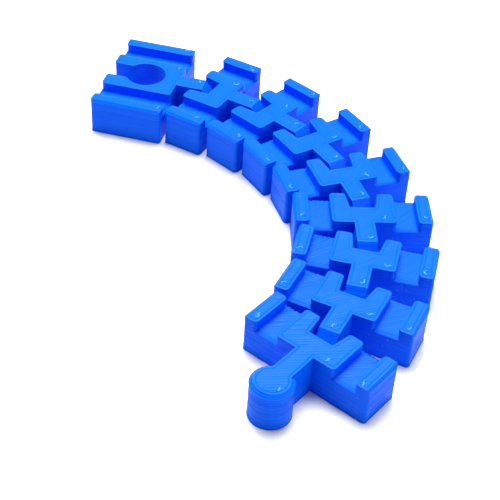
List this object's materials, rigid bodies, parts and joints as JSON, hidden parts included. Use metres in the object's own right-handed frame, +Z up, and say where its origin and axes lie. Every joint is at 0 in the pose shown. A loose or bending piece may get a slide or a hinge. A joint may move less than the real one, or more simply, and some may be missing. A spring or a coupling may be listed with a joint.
{
  "type": "flexible toy railway track",
  "caption": "Flexible toy railway track of flat grooved blocks joined by upright print-in-place hinges, with a keyhole socket at one end and a round-headed peg at the other.",
  "frame": {"origin": "on the socket's axis, at the base plane", "axes": "+Z up along the socket's axis; +X from the socket along its own link towards the chain; the chain bends to -Y"},
  "size_m": [0.1181, 0.1466, 0.012],
  "materials": {
    "printed_plastic": "satin, with fine print layers"
  },
  "bodies": {
    "socket_end": {"socket_end": "printed_plastic"},
    "link_1": {"link_1": "printed_plastic"},
    "link_2": {"link_2": "printed_plastic"},
    "link_3": {"link_3": "printed_plastic"},
    "link_4": {"link_4": "printed_plastic"},
    "link_5": {"link_5": "printed_plastic"},
    "link_6": {"link_6": "printed_plastic"},
    "link_7": {"link_7": "printed_plastic"},
    "peg_end": {"peg_end": "printed_plastic"}
  },
  "joints": [
    {"name": "hinge_1", "type": "hinge", "parent": "socket_end", "child": "link_1", "pos_m": [0.02023, 0, 0], "axis": [0, 0, 1], "range_deg": [-2.5, 32.5]},
    {"name": "hinge_2", "type": "hinge", "parent": "link_1", "child": "link_2", "pos_m": [0.0388, -0.00498, 0], "axis": [0, 0, 1], "range_deg": [-4, 31]},
    {"name": "hinge_3", "type": "hinge", "parent": "link_2", "child": "link_3", "pos_m": [0.05569, -0.01415, 0], "axis": [0, 0, 1], "range_deg": [-3, 32]},
    {"name": "hinge_4", "type": "hinge", "parent": "link_3", "child": "link_4", "pos_m": [0.06975, -0.02726, 0], "axis": [0, 0, 1], "range_deg": [-3.5, 31.5]},
    {"name": "hinge_5", "type": "hinge", "parent": "link_4", "child": "link_5", "pos_m": [0.08022, -0.04338, 0], "axis": [0, 0, 1], "range_deg": [-0.5, 34.5]},
    {"name": "hinge_6", "type": "hinge", "parent": "link_5", "child": "link_6", "pos_m": [0.08552, -0.06187, 0], "axis": [0, 0, 1], "range_deg": [-3, 32]},
    {"name": "hinge_7", "type": "hinge", "parent": "link_6", "child": "link_7", "pos_m": [0.08602, -0.08108, 0], "axis": [0, 0, 1], "range_deg": [-5, 30]},
    {"name": "hinge_8", "type": "hinge", "parent": "link_7", "child": "peg_end", "pos_m": [0.08236, -0.09996, 0], "axis": [0, 0, 1], "range_deg": [-3.5, 31.5]}
  ]
}
